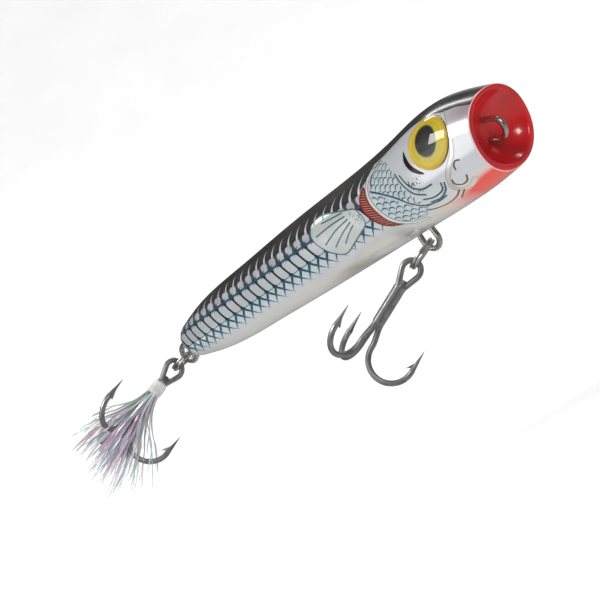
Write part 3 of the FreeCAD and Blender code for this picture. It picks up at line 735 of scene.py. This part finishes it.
chance = random.Random(7)
STRANDS, STEPS = 170, 14
strands = bpy.data.meshes.new("tinsel")
points, faces, tints, alongs = [], [], [], []
for n in range(STRANDS):
    around_shank = chance.uniform(0, 2 * math.pi)
    spread = math.radians(abs(chance.gauss(0, 13)) + 3)
    if n % 9 == 0:
        spread = math.radians(chance.uniform(22, 34))
    spread = min(spread, math.radians(34))
    length = chance.uniform(12.5, 17.3) * (0.93 if spread > 0.4 else 1.0)
    width = chance.uniform(0.14, 0.34)
    phase, twist = chance.uniform(0, 6.28), chance.uniform(-2.5, 2.5)
    droop = Vector((chance.uniform(-0.9, 0.9), chance.uniform(-0.9, 0.9), chance.uniform(-2.4, -0.2)))
    tint = chance.random()
    outward = SIDE * math.cos(around_shank) + OVER * math.sin(around_shank)
    sideways = SHANK.cross(outward)
    start = HOOK_EYE + SHANK * (WRAP_END - 0.5) + outward * chance.uniform(0.4, 0.95)
    first = len(points)
    for k in range(STEPS + 1):
        t = k / STEPS
        swing = spread * min(1.0, 0.35 + t)
        at = start + (SHANK * math.cos(swing) + outward * math.sin(swing)) * length * t
        at += droop * t * t
        at += sideways * 0.22 * math.sin(phase + t * 9) * t + outward * 0.16 * math.cos(phase + t * 13) * t
        flat = sideways * math.cos(twist * t + phase) + outward * math.sin(twist * t + phase)
        half = width / 2 * (1 if k < STEPS else 0.35)
        points += [(at - flat * half) * MM, (at + flat * half) * MM]
        tints += [tint, tint]
        alongs += [t, t]
        if k:
            i = first + 2 * k
            faces.append((i - 2, i - 1, i + 1, i))
strands.from_pydata([tuple(p) for p in points], [], faces)
tinsel = bpy.data.objects.new("tinsel_strands", strands)
bpy.context.scene.collection.objects.link(tinsel)
for name, values in (("tint", tints), ("along", alongs)):
    strands.attributes.new(name, "FLOAT", "POINT").data.foreach_set("value", np.array(values, np.float32))
bpy.ops.object.select_all(action="DESELECT")
bpy.context.view_layer.objects.active = tinsel
tinsel.select_set(True)
film_thickness = tinsel.modifiers.new("film", "SOLIDIFY")
film_thickness.thickness = 0.00003
bpy.ops.object.modifier_apply(modifier="film")

film, tree, shader = finish("pearl_film")
tint, along_strand = measured(tree, "tint"), measured(tree, "along")
shift = (tint + along_strand * 0.25 + noise(tree, 500, 2) * 0.35).fraction()
ramp = tree.nodes.new("ShaderNodeValToRGB")
tree.links.new(shift.socket, ramp.inputs["Fac"])
stops = ramp.color_ramp.elements
stops[0].position, stops[0].color = 0.0, (0.55, 0.55, 0.57, 1)
stops[1].position, stops[1].color = 1.0, (0.58, 0.59, 0.58, 1)
for at, value in ((0.16, (0.40, 0.64, 0.50)), (0.30, (0.70, 0.70, 0.70)), (0.44, (0.72, 0.40, 0.56)),
                  (0.56, (0.76, 0.74, 0.77)), (0.72, (0.45, 0.60, 0.65)), (0.84, (0.54, 0.47, 0.68))):
    stop = stops.new(at)
    stop.color = value + (1,)
tree.links.new(ramp.outputs["Color"], shader.inputs["Base Color"])
shader.inputs["Metallic"].default_value = 0.35
shader.inputs["Roughness"].default_value = 0.22
tree.links.new(along_strand.from_to(0.0, 1.0, 0.97, 0.72).socket, shader.inputs["Alpha"])
tinsel.data.materials.append(film)
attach(tinsel, "tail_treble")
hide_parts("tinsel_skirt")

# ---------------------------------------------------------------- floor, light and camera
# A pale paper bowl: its floor curves up into a wall all round, open at the top, under softboxes.
# Polished parts mirror the softboxes and a dim grey room, not the bowl, so that dark stays dark.

bpy.ops.mesh.primitive_uv_sphere_add(segments=96, ring_count=48, radius=1)
bowl = bpy.context.object
bowl.name = "studio_floor"
BOWL_RADIUS, BOWL_RISE, FLOOR_Z = 1.6, 1.5, -0.045      # in metres
FLAT = 0.92                     # the part of a unit bowl's depth that the floor leaves standing
bpy.ops.object.mode_set(mode="EDIT")
bpy.ops.mesh.select_all(action="DESELECT")
bpy.ops.object.mode_set(mode="OBJECT")
for vertex in bowl.data.vertices:
    r = math.hypot(vertex.co.x, vertex.co.y)
    vertex.select = vertex.co.z > 0.3
    z = -math.sqrt(max(0.0, 1 - r * r)) if vertex.co.z < 0 else vertex.co.z
    vertex.co = Vector((vertex.co.x * BOWL_RADIUS, vertex.co.y * BOWL_RADIUS,
                        max(0.0, z + FLAT) * BOWL_RISE + FLOOR_Z))
bpy.ops.object.mode_set(mode="EDIT")
bpy.ops.mesh.delete(type="VERT")
bpy.ops.mesh.select_all(action="SELECT")
bpy.ops.mesh.normals_make_consistent(inside=True)
bpy.ops.object.mode_set(mode="OBJECT")
bpy.ops.object.shade_smooth()
paper, tree, shader = finish("pale_paper")
colour = over(tree, (0.90, 0.90, 0.90), noise(tree, 30, 3).from_to(0.35, 0.65), (0.88, 0.88, 0.885))
tree.links.new(colour, shader.inputs["Base Color"])
shader.inputs["Roughness"].default_value = 0.9
bowl.data.materials.append(paper)
bowl.visible_glossy = bowl.visible_shadow = False

world = bpy.data.worlds.new("studio")
bpy.context.scene.world = world
world.use_nodes = True
sky = world.node_tree
direction, height, ramp = (sky.nodes.new("ShaderNodeTexCoord"), sky.nodes.new("ShaderNodeSeparateXYZ"),
                           sky.nodes.new("ShaderNodeValToRGB"))
sky.links.new(direction.outputs["Generated"], height.inputs["Vector"])
sky.links.new((Field(sky, height.outputs["Z"]) * 0.5 + 0.5).socket, ramp.inputs["Fac"])
ramp.color_ramp.elements[0].color = (0.62, 0.61, 0.58, 1)
ramp.color_ramp.elements[1].color = (0.12, 0.12, 0.12, 1)
for at, value in ((0.38, 0.30), (0.5, 0.03), (0.62, 0.06), (0.75, 0.08)):
    stop = ramp.color_ramp.elements.new(at)
    stop.color = (value, value, value, 1)
sky.links.new(ramp.outputs["Color"], sky.nodes["Background"].inputs["Color"])
sky.nodes["Background"].inputs["Strength"].default_value = 0.9
bpy.context.scene.view_settings.view_transform = "Standard"


def softbox(name, where, towards, wide, high, power):
    lamp = bpy.data.lights.new(name, "AREA")
    lamp.shape, lamp.size, lamp.size_y, lamp.energy = "RECTANGLE", wide, high, power
    made = bpy.data.objects.new(name, lamp)
    facing = (Vector(towards) - Vector(where)).to_track_quat("-Z", "Y").to_matrix().to_4x4()
    made.matrix_world = Matrix.Translation(where) @ facing
    bpy.context.scene.collection.objects.link(made)


aim = Vector((-0.04, 0, 0))
softbox("key", (-0.15, -0.6, 0.75), aim, 0.5, 0.4, 7)
softbox("right_wall", (-0.35, -1.2, 0.25), aim, 1.6, 0.9, 4.0)
softbox("left_wall", (-0.1, 1.2, 0.25), aim, 1.6, 0.5, 1.3)
softbox("nose_window", (0.5, -0.18, 0.25), aim, 0.10, 0.14, 0.6)
softbox("back_strip", (-0.1, 0.35, 0.5), aim, 0.6, 0.06, 1.2)
flood = bpy.data.lights.new("flood", "SUN")
flood.energy, flood.angle = 1.6, math.radians(70)
flood_at = bpy.data.objects.new("flood", flood)
flood_at.matrix_world = (-Vector((0.3, -0.75, 0.6))).to_track_quat("-Z", "Y").to_matrix().to_4x4()
flood_at.visible_glossy = False
bpy.context.scene.collection.objects.link(flood_at)

# The camera stands off the lure's right front, level with it, and is rolled so that the lure
# points up to the right; it aims a little past the body to leave room for the hooks.
middle_of_body = Vector((-0.0385, 0, 0.0002))
right = Vector((0.57932, 0.56481, -0.58770))
upward = Vector((0.40564, 0.42561, 0.80889))
CAMERA_DISTANCE = 0.33825
spot = middle_of_body + Vector((0.70700, -0.70700, 0.01745)) * CAMERA_DISTANCE
backward = (spot - (middle_of_body - right * 0.00524 - upward * 0.00911)).normalized()
right = upward.cross(backward).normalized()
upward = backward.cross(right)
lens = bpy.data.cameras.new("camera")
lens.sensor_width, lens.lens = 36, 133.65
lens.clip_start, lens.clip_end = 0.01, 20
camera = bpy.data.objects.new("camera", lens)
camera.matrix_world = Matrix(((right.x, upward.x, backward.x, spot.x),
                              (right.y, upward.y, backward.y, spot.y),
                              (right.z, upward.z, backward.z, spot.z), (0, 0, 0, 1)))
bpy.context.scene.collection.objects.link(camera)
bpy.context.scene.camera = camera

# The default scene's own cube, lamp and camera are no part of this.
for name in ("Cube", "Light", "Camera"):
    if name in bpy.data.objects:
        bpy.data.objects.remove(bpy.data.objects[name])
